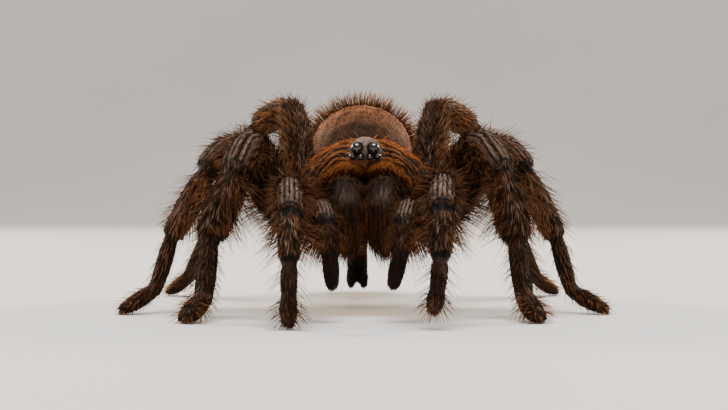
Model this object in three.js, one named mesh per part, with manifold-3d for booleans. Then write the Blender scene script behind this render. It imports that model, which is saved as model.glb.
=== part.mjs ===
// A life-size standing tarantula, as a still museum model. Millimetres, +Z up, the head faces -Y,
// and the spider's own left is at +X. The origin is under the middle of the model, on the floor.
// Every solid reaches out to the tips of the short coat, so the true skin lies a little inside it.
import * as THREE from "three";
import { mergeVertices } from "three/addons/utils/BufferGeometryUtils.js";
import Module from "manifold-3d";

const wasm = await Module();
wasm.setup();

// ---------------------------------------------------------------- driving dimensions
const CARAPACE = { length: 33, halfWidth: 16, rimHeight: 29.8, rimThickness: 0.8 };
const FRONT_ARCH = { rise: 5.4, halfWidth: 11.5, depth: 6.5 }; // the rim's arch over the chelicerae
const GAP = 0.3; // clear space between two pieces that meet
const BEND_RADIUS = 1.2; // radius of a limb's bends, as a share of its girth there
const BEND_ROOM = 0.46; // the most of a segment's length that the bend at one end takes
const LIMB_SIDES = 10;

// Segments of a limb from the body outwards: share of the girth at both ends of each segment.
const SHAPES = {
  coxa: { start: 0.92, end: 0.86, rings: 2 },
  femur: { start: 0.84, end: 0.9, rings: 6 },
  patella: { start: 0.88, end: 0.94, rings: 5 },
  tibia: { start: 0.84, end: 0.88, rings: 5 },
  metatarsus: { start: 0.88, end: 0.9, rings: 4 },
  tarsus: { start: 0.9, end: 0.84, rings: 4 },
};
const TOE_ROUNDING = 1.6; // length of the rounded tip of a tarsus

// Where each limb's axis leaves the sternum (root) and its coxa ends (hip), for the left side.
// girth is the half-thickness of each segment, out to the tips of its short coat.
const LIMBS = {
  palp: {
    root: [4.5, 6, 22],
    hip: [11.2, -1.6, 21.5],
    girth: { coxa: 2.6, femur: 2.3, patella: 2.45, tibia: 2.15, tarsus: 2.05 },
    length: { femur: 12.4, patella: 7.2, tibia: 7.7, tarsus: 8 },
  },
  leg1: {
    root: [5, 9, 25],
    hip: [13.5, 3, 25.2],
    girth: { coxa: 3.2, femur: 3.2, patella: 3.05, tibia: 2.4, metatarsus: 2.2, tarsus: 2.3 },
    length: { femur: 23.6, patella: 12.4, tibia: 11.8, metatarsus: 7, tarsus: 8 },
  },
  leg2: {
    root: [6, 13, 25.2],
    hip: [20.5, 10.5, 22.3],
    girth: { coxa: 3.3, femur: 4.0, patella: 4.35, tibia: 3.5, metatarsus: 2.8, tarsus: 2.8 },
    length: { femur: 21.6, patella: 13, tibia: 16.5, metatarsus: 14.5, tarsus: 9.8 },
  },
  leg3: {
    root: [6, 17, 25.2],
    hip: [20.5, 18, 22.3],
    girth: { coxa: 3.3, femur: 3.8, patella: 3.7, tibia: 3.0, metatarsus: 2.4, tarsus: 2.4 },
    length: { femur: 22.2, patella: 11.5, tibia: 17.4, metatarsus: 13.2, tarsus: 11 },
  },
  leg4: {
    root: [5, 22, 25.2],
    hip: [16, 27, 25.3],
    girth: { coxa: 3.4, femur: 3.9, patella: 3.8, tibia: 3.2, metatarsus: 2.5, tarsus: 2.4 },
    length: { femur: 29, patella: 13, tibia: 25.4, metatarsus: 22.6, tarsus: 11.6 },
  },
};

// The stance: each segment's [swing, rise] in degrees. Swing 0 points straight out from the
// body's side, 90 straight forward and -90 straight back; rise is above the horizontal.
const STANCE = {
  palp: {
    left: { femur: [97, 17], patella: [102, -31], tibia: [104, -58], tarsus: [-149, -76] },
    right: { femur: [97, 17], patella: [104, -31], tibia: [101, -58], tarsus: [-107, -80] },
  },
  leg1: {
    left: {
      femur: [82, 12], patella: [94, -28], tibia: [95, -54],
      metatarsus: [104, -62], tarsus: [-96, -41],
    },
    right: {
      femur: [83, 10], patella: [94, -28], tibia: [91, -53],
      metatarsus: [91, -70], tarsus: [-86, -62],
    },
  },
  leg2: {
    left: {
      femur: [59, 66], patella: [51, -44], tibia: [67, -66],
      metatarsus: [79, -65], tarsus: [73, -28],
    },
    right: {
      femur: [55, 65], patella: [69, -45], tibia: [48, -61],
      metatarsus: [84, -66], tarsus: [66, -27],
    },
  },
  leg3: {
    left: {
      femur: [27, 60], patella: [36, -43], tibia: [0, -64],
      metatarsus: [33, -73], tarsus: [36, -26],
    },
    right: {
      femur: [27, 60], patella: [38, -44], tibia: [0, -61],
      metatarsus: [30, -72], tarsus: [39, -27],
    },
  },
  leg4: {
    left: {
      femur: [-82, 63], patella: [-40, -20], tibia: [-37, -58],
      metatarsus: [-34, -62], tarsus: [-49, -26],
    },
    right: {
      femur: [-80, 63], patella: [-42, -19], tibia: [-35, -57],
      metatarsus: [-31, -61], tarsus: [-49, -25],
    },
  },
};
const SOLE_PRESS = 0.25; // height of a level toe's axis over the floor, as a share of its girth
const LIFTED = new Set(["palp_left", "palp_right", "leg1_left"]); // held clear of the floor

// Four pairs of eyes on a mound at the carapace's front, given for the left side.
const EYE_MOUND = { centre: [0, 2.4, 37.9], radii: [3.8, 3.4, 3.2] };
const EYES = {
  eye_front: { at: [1.95, -0.35, 38.3], r: 1.35 },
  eye_lower: { at: [1.1, -0.5, 36.3], r: 0.78 },
  eye_side: { at: [2.85, -0.05, 36.5], r: 0.8 },
  eye_rear: { at: [2.7, 4, 39.5], r: 0.5 },
};

// Axes of the mouthparts, for the left side, and their half-thickness across and along the body.
const CHELICERA = {
  axis: [[4.5, 4.5, 27.8], [4.6, -1.2, 28.6], [4.3, -3.8, 23], [3.7, -3, 15.2]],
  wide: 4.15,
  deep: 4.2,
  fullness: [
    [0, 0.5], [0.05, 0.85], [0.16, 1], [0.36, 1.02], [0.56, 0.98], [0.78, 0.88], [0.93, 0.72], [1, 0.42],
  ],
};
const FANG = {
  axis: [[3.5, 0.8, 17.4], [3.4, 2.2, 16.1], [3.25, 5, 15.8], [3, 8.4, 17.4]],
  base: 1.4,
  tip: 0.25,
};

const ABDOMEN = {
  front: [0, 35.5, 32],
  crown: [-1.1, 57, 53],
  end: [-2.2, 82, 18.5],
  wide: 13.9,
  deep: 12.9,
};
const SPINNERET = { apart: 3.3, girth: 1.42, tipHeight: 1.6 };
const PEDICEL = { from: [0, 33.3, 30.4], to: [0, 37.5, 30.4], girth: 2.1 };
const STERNUM = { centre: [0, 15.5, 24.9], radii: [8.6, 13, 4] };

const COATS = {
  leg: { color: 0x4a3222, roughness: 0.85 },
  carapace: { color: 0x8a5528, roughness: 0.8 },
  abdomen: { color: 0x9a7256, roughness: 0.9 },
  chelicera: { color: 0x3a2419, roughness: 0.8 },
  eye: { color: 0x080607, roughness: 0.08 },
  fang: { color: 0x140c0a, roughness: 0.25 },
};

// ---------------------------------------------------------------- tools
const vec = (x, y, z) => new THREE.Vector3(x, y, z);
const SIDEWAYS = vec(1, 0, 0);
const SIDES = { left: 1, right: -1 };

// Turns a geometry into a solid that can be joined and cut.
function solid(geometry) {
  const bare = geometry.clone();
  bare.deleteAttribute("normal");
  bare.deleteAttribute("uv");
  const merged = mergeVertices(bare, 1e-4);
  return new wasm.Manifold(
    new wasm.Mesh({
      numProp: 3,
      vertProperties: merged.attributes.position.array,
      triVerts: new Uint32Array(merged.index.array),
    }),
  );
}

function geometryOf(cut) {
  const mesh = cut.getMesh();
  const geometry = new THREE.BufferGeometry();
  geometry.setAttribute("position", new THREE.BufferAttribute(new Float32Array(mesh.vertProperties), 3));
  geometry.setIndex(new THREE.BufferAttribute(new Uint32Array(mesh.triVerts), 1));
  geometry.computeVertexNormals();
  return geometry;
}

// A tube through the stations {at, wide, high} of a curve; at runs from 0 to 1 along it, and
// the wide axis stays across `across`. Its ends are flat.
function tube(curve, stations, across, sides = LIMB_SIDES) {
  const geometry = new THREE.CylinderGeometry(1, 1, 1, sides, stations.length - 1);
  const place = geometry.attributes.position;
  for (let i = 0; i < place.count; i++) {
    const row = Math.round((place.getY(i) + 0.5) * (stations.length - 1));
    const { at, wide, high } = stations[row];
    const along = curve.getTangent(at).normalize();
    const side = across.clone().addScaledVector(along, -across.dot(along)).normalize();
    const top = new THREE.Vector3().crossVectors(side, along);
    const point = curve.getPoint(at);
    point.addScaledVector(side, place.getX(i) * wide).addScaledVector(top, place.getZ(i) * high);
    place.setXYZ(i, point.x, point.y, point.z);
  }
  return geometry;
}

// A closed round form: a ball whose poles lie on the ends of a curve.
function pod(curve, wide, high, across, sides, rings) {
  const geometry = new THREE.SphereGeometry(1, sides, rings);
  const place = geometry.attributes.position;
  for (let i = 0; i < place.count; i++) {
    const at = THREE.MathUtils.clamp((1 + place.getY(i)) / 2, 0, 1);
    const along = curve.getTangentAt(at).normalize();
    const side = across.clone().addScaledVector(along, -across.dot(along)).normalize();
    const top = new THREE.Vector3().crossVectors(side, along);
    const point = curve.getPointAt(at);
    point.addScaledVector(side, place.getX(i) * wide(at)).addScaledVector(top, place.getZ(i) * high(at));
    place.setXYZ(i, point.x, point.y, point.z);
  }
  return geometry;
}

function ball(centre, radii, sides = 8, rings = 6) {
  return new THREE.SphereGeometry(1, sides, rings).scale(...radii).translate(...centre);
}

// ---------------------------------------------------------------- limbs
function heading(side, [swing, rise]) {
  const s = THREE.MathUtils.degToRad(swing);
  const r = THREE.MathUtils.degToRad(rise);
  return vec(side * Math.cos(r) * Math.cos(s), -Math.cos(r) * Math.sin(s), Math.sin(r));
}

// The limb's joints, from its root in the sternum to its toe.
function jointsOf(limb, sideName) {
  const side = SIDES[sideName];
  const { root, hip, length } = LIMBS[limb];
  const joints = [root, hip].map(([x, y, z]) => vec(side * x, y, z));
  for (const [segment, angles] of Object.entries(STANCE[limb][sideName]))
    joints.push(joints.at(-1).clone().addScaledVector(heading(side, angles), length[segment]));
  return joints;
}

// A round bend about a corner, from the unit heading `before` to the unit heading `after`.
class Bend extends THREE.Curve {
  constructor(corner, before, after, reach) {
    super();
    this.turn = before.angleTo(after);
    this.radius = reach / Math.tan(this.turn / 2);
    this.start = corner.clone().addScaledVector(before, -reach);
    this.end = corner.clone().addScaledVector(after, reach);
    this.axis = new THREE.Vector3().crossVectors(before, after).normalize();
    const inwards = new THREE.Vector3().crossVectors(this.axis, before);
    this.centre = this.start.clone().addScaledVector(inwards, this.radius);
  }

  getPoint(t, target = new THREE.Vector3()) {
    target.copy(this.start).sub(this.centre);
    return target.applyAxisAngle(this.axis, t * this.turn).add(this.centre);
  }
}

// The limb's axis: straight stretches with a round bend at each joint. `marks` says how far
// along it each joint lies.
function axisOf(joints, radii) {
  const path = new THREE.CurvePath();
  const marks = [0];
  let from = joints[0];
  let length = 0;
  for (let i = 1; i < joints.length - 1; i++) {
    const before = joints[i].clone().sub(joints[i - 1]);
    const after = joints[i + 1].clone().sub(joints[i]);
    const room = BEND_ROOM * Math.min(before.length(), after.length());
    const reach = Math.min(radii[i] * Math.tan(before.angleTo(after) / 2), room);
    const bend = new Bend(joints[i], before.normalize(), after.normalize(), reach);
    path.add(new THREE.LineCurve3(from, bend.start));
    path.add(bend);
    length += from.distanceTo(bend.start) + bend.radius * bend.turn;
    marks.push(length - (bend.radius * bend.turn) / 2);
    from = bend.end;
  }
  path.add(new THREE.LineCurve3(from, joints.at(-1)));
  const whole = length + from.distanceTo(joints.at(-1));
  return { path, whole, marks: [...marks, whole] };
}

// Half-thickness of a segment at t along it: fullest in the middle.
function girthAt(girth, { start, end }, t) {
  const belly = 1 - (start + end) / 2;
  return girth * (start + (end - start) * t + belly * Math.sin(Math.PI * t));
}

function stationsOf(limb, segment, from, to, whole) {
  const { rings } = SHAPES[segment];
  const girth = LIMBS[limb].girth[segment];
  const made = [];
  for (let i = 0; i < rings; i++) {
    const t = i / (rings - 1);
    const r = girthAt(girth, SHAPES[segment], t);
    made.push({ at: THREE.MathUtils.lerp(from, to, t) / whole, wide: r, high: r });
  }
  return made;
}

// The rounded toe beyond a tarsus's last full ring.
function toeStations(limb, from, whole) {
  const r = girthAt(LIMBS[limb].girth.tarsus, SHAPES.tarsus, 1);
  return [0.55, 0.87, 1].map((t) => {
    const share = Math.max(0.25, Math.sqrt(1 - t * t));
    return { at: (from + t * TOE_ROUNDING) / whole, wide: r * share, high: r * share };
  });
}

// Moves a standing limb's lower segments so that its toe's axis lies just above the floor.
function settle(joints, girth) {
  const toe = joints.at(-1).clone().sub(joints.at(-2));
  const level = Math.hypot(toe.x, toe.y) / toe.length();
  const rise = SOLE_PRESS * girth * level - joints.at(-1).z;
  joints.at(-1).z += rise;
  joints.at(-2).z += rise / 2;
}

// Presses flat whatever of a foot would reach below the floor.
function flattenSole(geometry) {
  const place = geometry.attributes.position;
  for (let i = 0; i < place.count; i++) place.setZ(i, Math.max(0, place.getZ(i)));
  return geometry;
}

// The solids of one limb by segment name. Metatarsus and tarsus are one foot on a leg.
function limbPieces(limb, sideName) {
  const joints = jointsOf(limb, sideName);
  const label = `${limb}_${sideName}`;
  if (!LIFTED.has(label)) settle(joints, LIMBS[limb].girth.tarsus);
  const segments = ["coxa", ...Object.keys(LIMBS[limb].length)];
  const girths = segments.map((segment) => LIMBS[limb].girth[segment]);
  const radii = girths.map((girth, i) => BEND_RADIUS * Math.max(girth, girths[i - 1] ?? 0));
  const { path, whole, marks } = axisOf(joints, radii);
  const outwards = joints.at(-1).clone().sub(joints[1]).setZ(0).normalize();
  const across = vec(-outwards.y, outwards.x, 0);
  const pieces = {};
  let stations = [];
  segments.forEach((segment, i) => {
    const isToe = segment === "tarsus";
    const joinsLast = isToe && limb !== "palp";
    const from = marks[i] + (i && !joinsLast ? GAP / 2 : 0);
    const to = isToe ? whole - TOE_ROUNDING : marks[i + 1] - (segment === "metatarsus" ? 0 : GAP / 2);
    const own = stationsOf(limb, segment, from, to, whole);
    stations = joinsLast ? [...stations, ...own.slice(1)] : own;
    if (isToe) stations.push(...toeStations(limb, to, whole));
    if (segment === "metatarsus") return;
    const name = joinsLast ? "foot" : segment;
    pieces[name] = flattenSole(tube(path, stations, across));
  });
  return pieces;
}

// ---------------------------------------------------------------- body
// Half-width of the carapace and height of its ridge, at shares of its length from the front.
const onCarapace = (share, value) => new THREE.Vector2(share * CARAPACE.length, value);
const carapaceWidth = new THREE.SplineCurve(
  [[0, 0], [0.015, 0.47], [0.12, 0.69], [0.3, 0.875], [0.52, 1], [0.76, 0.84], [0.94, 0.475], [1, 0]]
    .map(([share, width]) => onCarapace(share, width * CARAPACE.halfWidth)),
);
const carapaceRidge = new THREE.SplineCurve(
  [[0, 35.2], [0.06, 38.6], [0.15, 40.6], [0.27, 41.4], [0.42, 40.7], [0.55, 39.7], [0.76, 37.2], [1, 30]]
    .map(([share, height]) => onCarapace(share, height)),
);

// Reads a spline of (y, value) points at y.
function readAt(spline, y) {
  let low = 0;
  let high = 1;
  for (let i = 0; i < 30; i++) {
    const middle = (low + high) / 2;
    if (spline.getPoint(middle).x < y) low = middle;
    else high = middle;
  }
  return Math.max(0, spline.getPoint(low).y);
}

// Height of the carapace's edge, which arches up at the front over the chelicerae.
function rimAt(x, y) {
  const { rise, halfWidth, depth } = FRONT_ARCH;
  const arch = rise * Math.max(0, 1 - (x / halfWidth) ** 2) * Math.exp(-((y / depth) ** 2));
  return CARAPACE.rimHeight + arch;
}

// A ball whose equator is drawn out to the carapace's edge and whose upper half is its dome.
function makeShell() {
  const middle = CARAPACE.length / 2;
  const half = CARAPACE.rimThickness / 2;
  const geometry = new THREE.SphereGeometry(1, 26, 10).rotateX(Math.PI / 2);
  const place = geometry.attributes.position;
  for (let i = 0; i < place.count; i++) {
    const [u, v, w] = [place.getX(i), place.getY(i), place.getZ(i)];
    const reach = Math.min(1, Math.hypot(u, v));
    const edgeY = middle * (1 + (reach > 1e-6 ? v / reach : 0));
    const edgeX = Math.abs(u) > 1e-6 ? Math.sign(u) * readAt(carapaceWidth, edgeY) : 0;
    const x = reach * edgeX;
    const y = middle + reach * (edgeY - middle);
    const share = Math.abs(x) / Math.max(readAt(carapaceWidth, y), Math.abs(x) + 1e-6);
    const rim = rimAt(x, y);
    const crown = (readAt(carapaceRidge, y) - rim) * Math.max(0, 1 - share * share) ** 0.41;
    const rise = reach > 0.999 ? 0 : w > 0 ? Math.max(half, crown) : -half;
    place.setXYZ(i, x, y, rim + rise);
  }
  return solid(geometry);
}

// The carapace with the eye mound on it, and the eyes in their sockets.
function makeHead() {
  const mound = solid(ball(EYE_MOUND.centre, EYE_MOUND.radii, 14, 8));
  let head = makeShell().add(mound);
  const eyes = {};
  for (const [name, { at, r }] of Object.entries(EYES))
    for (const [sideName, side] of Object.entries(SIDES)) {
      const centre = [side * at[0], at[1], at[2]];
      eyes[`${name}_${sideName}`] = ball(centre, [r, r, r]);
      head = head.subtract(solid(ball(centre, [r + GAP, r + GAP, r + GAP])));
    }
  return { head, eyes };
}

// A curve through points given for the left side.
function curveOn(side, points) {
  return new THREE.CatmullRomCurve3(points.map(([x, y, z]) => vec(side * x, y, z)));
}

// A chelicera bulges forward below the carapace's arch and bends down. `grow` thickens it.
function makeChelicera(side, grow = 0) {
  const stations = CHELICERA.fullness.map(([at, share]) => ({
    at,
    wide: grow + CHELICERA.wide * share,
    high: grow + CHELICERA.deep * share,
  }));
  return solid(tube(curveOn(side, CHELICERA.axis), stations, SIDEWAYS, 14));
}

// A fang lies folded back under the body, behind the tip of its chelicera.
function makeFang(side) {
  const stations = [0, 0.25, 0.5, 0.75, 1].map((at) => {
    const r = THREE.MathUtils.lerp(FANG.tip, FANG.base, (1 - at) ** 0.8);
    return { at, wide: r, high: r };
  });
  return tube(curveOn(side, FANG.axis), stations, SIDEWAYS, 8);
}

// The abdomen's axis rises from the pedicel and droops behind. `grow` thickens it.
function makeAbdomen(grow = 0) {
  const points = [ABDOMEN.front, ABDOMEN.crown, ABDOMEN.end].map((point) => vec(...point));
  const axis = new THREE.QuadraticBezierCurve3(...points);
  const swell = (t) => 1.09 - 0.16 * t;
  const wide = (t) => grow + ABDOMEN.wide * swell(t);
  const high = (t) => grow + ABDOMEN.deep * swell(t);
  return solid(pod(axis, wide, high, SIDEWAYS, 20, 14));
}

function makePedicel() {
  const stations = [0, 1].map((at) => ({ at, wide: PEDICEL.girth, high: PEDICEL.girth }));
  return solid(tube(new THREE.LineCurve3(vec(...PEDICEL.from), vec(...PEDICEL.to)), stations, SIDEWAYS));
}

// The two long spinnerets hang behind the abdomen, each of three joints.
function makeSpinneret(side) {
  const [middle, back, top] = ABDOMEN.end;
  const fall = top - SPINNERET.tipHeight;
  const x = middle + (side * SPINNERET.apart) / 2;
  const axis = new THREE.CatmullRomCurve3([
    vec(x, back - 3, top),
    vec(x, back + 0.2, top - 0.33 * fall),
    vec(x, back + 0.9, top - 0.66 * fall),
    vec(x + side * 0.15, back + 0.4, top - fall),
  ]);
  const shares = [[0, 0.92], [0.3, 1], [0.35, 0.85], [0.6, 0.98], [0.65, 0.85], [0.88, 1.05], [1, 0.56]];
  const stations = shares.map(([at, share]) => ({
    at,
    wide: SPINNERET.girth * share,
    high: SPINNERET.girth * share,
  }));
  return solid(tube(axis, stations, SIDEWAYS, 8));
}

// The sternum with the bases of all ten limbs.
function makeUnderbody(coxae) {
  let body = solid(ball(STERNUM.centre, STERNUM.radii, 16, 8));
  for (const coxa of coxae) body = body.add(solid(coxa));
  return body;
}

// What is left of a piece once the solids in its way are cut off.
function cutBy(piece, ...others) {
  const left = others.reduce((kept, other) => kept.subtract(other), piece);
  return left.decompose().sort((a, b) => b.volume() - a.volume())[0];
}

// ---------------------------------------------------------------- the whole spider
const pieces = [];
const put = (name, geometry, coat) => pieces.push({ name, geometry, coat });

const coxae = [];
for (const limb of Object.keys(LIMBS))
  for (const sideName of Object.keys(SIDES))
    for (const [segment, geometry] of Object.entries(limbPieces(limb, sideName)))
      if (segment === "coxa") coxae.push(geometry);
      else put(`${limb}_${sideName}_${segment}`, geometry, "leg");

const { head, eyes } = makeHead();
put("carapace", geometryOf(head), "carapace");
for (const [name, geometry] of Object.entries(eyes)) put(name, geometry, "eye");

const chelicerae = Object.values(SIDES).map((side) => makeChelicera(side, GAP));
put("underbody", geometryOf(cutBy(makeUnderbody(coxae), ...chelicerae)), "leg");
put("pedicel", geometryOf(cutBy(makePedicel(), makeAbdomen(GAP))), "leg");
put("abdomen", geometryOf(makeAbdomen()), "abdomen");
for (const [sideName, side] of Object.entries(SIDES)) {
  put(`chelicera_${sideName}`, geometryOf(makeChelicera(side)), "chelicera");
  put(`fang_${sideName}`, makeFang(side), "fang");
  put(`spinneret_${sideName}`, geometryOf(cutBy(makeSpinneret(side), makeAbdomen(GAP))), "leg");
}

const spider = new THREE.Group();
for (const { name, geometry, coat } of pieces) {
  const mesh = new THREE.Mesh(geometry, new THREE.MeshStandardMaterial({ ...COATS[coat], metalness: 0 }));
  mesh.name = name;
  spider.add(mesh);
}

// Brings the middle of the model's floor area to the origin.
const box = new THREE.Box3().setFromObject(spider, true);
const centre = box.getCenter(new THREE.Vector3());
spider.position.set(-centre.x, -centre.y, -box.min.z);

const model = new THREE.Group();
model.add(spider);
export default model;
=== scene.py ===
"""The looks of a life-size museum tarantula: skin, eyes, fangs, claws and a coat of hair."""

import math
from types import SimpleNamespace

import bmesh
import bpy
import numpy as np
from bpy.props import FloatProperty, FloatVectorProperty, IntProperty, PointerProperty
from mathutils import Matrix, Vector
from mathutils.bvhtree import BVHTree
from mathutils.kdtree import KDTree


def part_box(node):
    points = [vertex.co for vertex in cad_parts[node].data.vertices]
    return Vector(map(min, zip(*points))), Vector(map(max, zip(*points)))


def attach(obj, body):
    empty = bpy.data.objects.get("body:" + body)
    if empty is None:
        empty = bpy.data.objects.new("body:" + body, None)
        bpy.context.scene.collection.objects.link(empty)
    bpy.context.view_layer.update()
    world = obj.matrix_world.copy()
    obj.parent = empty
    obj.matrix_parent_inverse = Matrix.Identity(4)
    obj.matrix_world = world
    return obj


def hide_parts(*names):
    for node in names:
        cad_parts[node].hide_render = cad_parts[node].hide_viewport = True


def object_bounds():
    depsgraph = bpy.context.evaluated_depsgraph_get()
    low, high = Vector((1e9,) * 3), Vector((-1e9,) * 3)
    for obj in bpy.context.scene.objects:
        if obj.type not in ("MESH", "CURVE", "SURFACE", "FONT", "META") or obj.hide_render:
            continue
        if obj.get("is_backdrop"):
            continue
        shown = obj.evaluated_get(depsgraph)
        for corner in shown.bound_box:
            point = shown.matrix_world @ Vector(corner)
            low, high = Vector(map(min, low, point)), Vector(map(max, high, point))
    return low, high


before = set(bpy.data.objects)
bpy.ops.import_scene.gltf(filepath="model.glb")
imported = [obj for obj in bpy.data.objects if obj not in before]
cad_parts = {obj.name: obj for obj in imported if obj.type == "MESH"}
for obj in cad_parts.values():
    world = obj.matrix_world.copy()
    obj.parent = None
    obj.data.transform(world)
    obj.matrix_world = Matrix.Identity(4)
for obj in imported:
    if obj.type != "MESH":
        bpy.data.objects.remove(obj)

bl_info = {
    "name": "Museum tarantula",
    "version": (1, 0, 0),
    "blender": (4, 5, 0),
    "location": "3D View > Sidebar > Tarantula",
    "description": "Builds the skin, eyes, fangs, claws and coat of a life-size tarantula",
    "category": "Mesh",
}

MM = 0.001
SIDES = ("left", "right")
LEGS = ("leg1", "leg2", "leg3", "leg4")
LIMBS = {"palp": ("femur", "patella", "tibia", "tarsus")}
LIMBS.update({leg: ("femur", "patella", "tibia", "foot") for leg in LEGS})
EYES = [f"{eye}_{side}" for eye in ("front", "lower", "side", "rear") for side in SIDES]
UP = np.array((0.0, 0.0, 1.0))
# stands for no limit, where a distance or a room has none
FAR = 20 * MM
# how high the skin and the hairs stay over the floor
SKIN_OVER_FLOOR = 0.05 * MM
HAIR_OVER_FLOOR = 0.04 * MM
# the rounds of evening out for the way of the hair, its lie along the skin, and the skin's depth
FLOW_ROUNDS, LIE_ROUNDS, DEPTH_ROUNDS = 4, 6, 8
EVERY_WAY = {"use_axis_x": True, "use_axis_y": True, "use_axis_z": True}

# How the coat grows on each kind of part, in millimetres, degrees and hairs to the square millimetre:
# the skin's depth below the coat's tips, then the fur's density, length, width and lift,
# then the same four of the setae, the long stout hairs that stand through the fur.
COAT = {
    "carapace": (0.22, (8.8, 1.45, 0.19, 8), (0.2, 2.4, 0.15, 35)),
    "underbody": (0.45, (3.0, 2.8, 0.24, 14), (1.3, 5.0, 0.17, 38)),
    "abdomen": (0.32, (11.5, 1.25, 0.15, 20), (3.4, 5.2, 0.14, 62)),
    "pedicel": (0.3, (2.0, 1.0, 0.15, 20), (0.0, 2.0, 0.12, 30)),
    "chelicera": (0.3, (6.5, 2.3, 0.20, 9), (1.6, 3.4, 0.17, 15)),
    "spinneret": (0.12, (10.0, 0.8, 0.17, 24), (1.0, 1.1, 0.12, 30)),
    "palp_femur": (0.35, (5.0, 2.0, 0.20, 10), (0.9, 3.2, 0.14, 45)),
    "palp_patella": (0.12, (7.5, 1.8, 0.18, 13), (1.2, 3.0, 0.13, 46)),
    "palp_tibia": (0.25, (7.5, 2.2, 0.18, 13), (2.4, 3.4, 0.13, 50)),
    "palp_tarsus": (0.25, (12.0, 0.9, 0.17, 13), (0.15, 1.5, 0.12, 26)),
    "leg_femur": (0.4, (4.6, 3.0, 0.24, 11), (0.8, 4.8, 0.16, 50)),
    "leg_patella": (0.22, (5.4, 2.4, 0.23, 11), (0.8, 4.4, 0.15, 50)),
    "leg_tibia": (0.35, (5.2, 2.8, 0.23, 10), (1.2, 5.2, 0.15, 54)),
    "leg_foot": (0.5, (7.0, 1.5, 0.19, 9), (0.8, 3.4, 0.13, 44)),
}
KINDS = list(COAT)
FIRST_LIMB_KIND = KINDS.index("palp_femur")


def limb_nodes(limb):
    """The nodes of both limbs of a pair, each from hip to tip."""
    return [f"{limb}_{side}_{part}" for side in SIDES for part in LIMBS[limb]]


FLESH = ["carapace", "underbody", "abdomen", "pedicel"]
FLESH += [f"{name}_{side}" for name in ("chelicera", "spinneret") for side in SIDES]
FLESH += [name for limb in LIMBS for name in limb_nodes(limb)]


def kind_of(name):
    """The index in KINDS of the sort of part that a node is."""
    kind = name.replace("_left", "").replace("_right", "")
    return KINDS.index("leg" + kind[4:] if kind.startswith("leg") else kind)


# ------- settings


def length(name, description, value, **limits):
    kind = {"subtype": "DISTANCE", "unit": "LENGTH"}
    return FloatProperty(name=name, description=description, default=value, **kind, **limits)


def colour(name, description, value):
    kind = {"subtype": "COLOR", "min": 0.0, "max": 1.0}
    return FloatVectorProperty(name=name, description=description, default=value, **kind)


class TarantulaColours(bpy.types.PropertyGroup):
    """The colours of cuticle, fur and setae."""

    cuticle: colour("Cuticle", "Bare black rings and claws", (0.003, 0.003, 0.003))
    soot: colour("Soot", "Roots and darkest hairs of the fur", (0.008, 0.005, 0.004))
    umber: colour("Umber", "Dark fur of the legs", (0.038, 0.0145, 0.0065))
    brown: colour("Brown", "Lighter fur of the legs", (0.090, 0.033, 0.012))
    tan: colour("Tan", "Palest hairs of the fur", (0.38, 0.175, 0.08))
    # gold is the setae's tips and also painted warm rim light on the limbs' sides and the carapace's crest
    gold: colour("Gold", "Tips of the setae", (0.66, 0.25, 0.06))
    orange: colour("Orange", "Combed hair of the carapace", (0.74, 0.23, 0.045))
    # rose is the velvet's own colour and, round its brow, painted rim light
    rose: colour("Rose", "Velvet of the abdomen", (0.80, 0.32, 0.14))
    # pale is the patellae's stripes and also a painted highlight on the tops of the limbs
    pale: colour("Pale", "Stripes of the patellae", (0.52, 0.36, 0.28))
    # grey is also a painted highlight on the bare patches of the chelicerae
    grey: colour("Grey", "Patches of the chelicerae and the eye mound", (0.22, 0.18, 0.15))
    # glint is a painted highlight on the palps' tips
    glint: colour("Glint", "Blue sheen at the tips of the palps", (0.45, 0.55, 0.75))


class TarantulaBody(bpy.types.PropertyGroup):
    """The sizes of the skin and the bare parts."""

    voxel: length("Voxel", "Grid that welds the body's parts into one skin", 0.52 * MM, min=0.3 * MM)
    weld: length("Weld", "How far the parts are grown so that the cuts between them close", 0.3 * MM)
    ring: length("Ring", "Half the height of a bare ring at a joint", 1.05 * MM)
    ring_rise: length("Ring rise", "How far a bare ring stands over the skin", 0.2 * MM)
    rounds: IntProperty(name="Rounds", description="Rounds of smoothing of the skin", default=9, min=0)
    claw: length("Claw", "Length of a claw", 0.7 * MM)


class TarantulaStage(bpy.types.PropertyGroup):
    """The camera, the floor and the lights."""

    distance: length("Distance", "From the front of the model to the camera", 279.8 * MM)
    height: length("Height", "Camera over the floor", 25.3 * MM)
    lens: FloatProperty(name="Lens", description="Focal length in millimetres", default=69.23, min=10.0)
    floor: length("Floor", "From the middle of the floor to the start of its upward sweep", 1500 * MM)
    sweep: length("Sweep", "Radius of the floor's upward sweep", 600 * MM)
    key: FloatProperty(name="Key", description="Power of the soft light above", default=36.0, unit="POWER")
    rim: FloatProperty(name="Rim", description="Power of each light behind", default=24.0, unit="POWER")
    fill: FloatProperty(name="Fill", description="Strength of the surrounding light", default=0.26, min=0.0)


class TarantulaSettings(bpy.types.PropertyGroup):
    """All settings of the model."""

    colours: PointerProperty(type=TarantulaColours)
    body: PointerProperty(type=TarantulaBody)
    stage: PointerProperty(type=TarantulaStage)
    seed: IntProperty(name="Seed", description="Start of the random draws of the coat", default=11)


def palette(settings):
    """The colours of the settings by name, as arrays."""
    keys = settings.colours.__annotations__
    return SimpleNamespace(**{key: np.array(getattr(settings.colours, key)[:]) for key in keys})


# ------- small tools


def unit(vectors):
    """Vectors at length 1, along the last axis."""
    size = np.linalg.norm(vectors, axis=-1, keepdims=True)
    return vectors / np.maximum(size, 1e-12)


def dot(a, b):
    return np.sum(a * b, axis=-1)


def step(low, high, x):
    """A smooth rise from 0 at low to 1 at high."""
    t = np.clip((x - low) / (high - low), 0.0, 1.0)
    return t * t * (3.0 - 2.0 * t)


def ramp(low, high, x):
    """A smooth rise over lengths, with its ends in millimetres."""
    return step(low * MM, high * MM, x)


def bell(x, middle, width):
    """A smooth bump of height 1."""
    return np.exp(-(((x - middle) / width) ** 2))


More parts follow.
